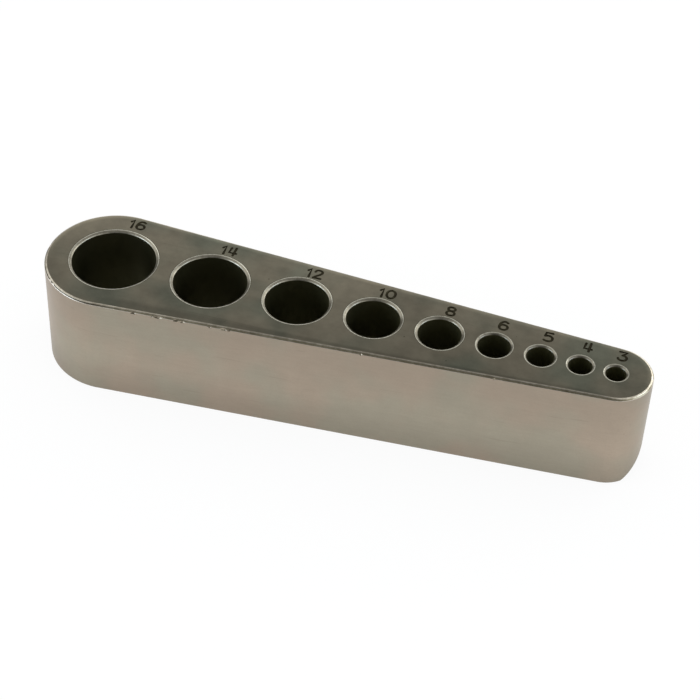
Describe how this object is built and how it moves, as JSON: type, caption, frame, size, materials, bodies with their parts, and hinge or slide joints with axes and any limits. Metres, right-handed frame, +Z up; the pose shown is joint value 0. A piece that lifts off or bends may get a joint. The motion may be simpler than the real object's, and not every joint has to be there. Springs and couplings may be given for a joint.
{
  "type": "tap guide block",
  "caption": "Tapered steel block with a row of plain guide bores that hold taps square to the work, and a V-groove below.",
  "frame": {"origin": "middle of the footprint's box, on the plane of the underside", "axes": "+X along the row of bores from the large end to the small end, +Z up along the bores"},
  "size_m": [0.1182, 0.0264, 0.0222],
  "materials": {
    "hardened_steel": "ground and lightly tumbled hardened steel, satin, with a darker top face"
  },
  "bodies": {
    "root": {"guide_block": "hardened_steel"}
  },
  "joints": []
}
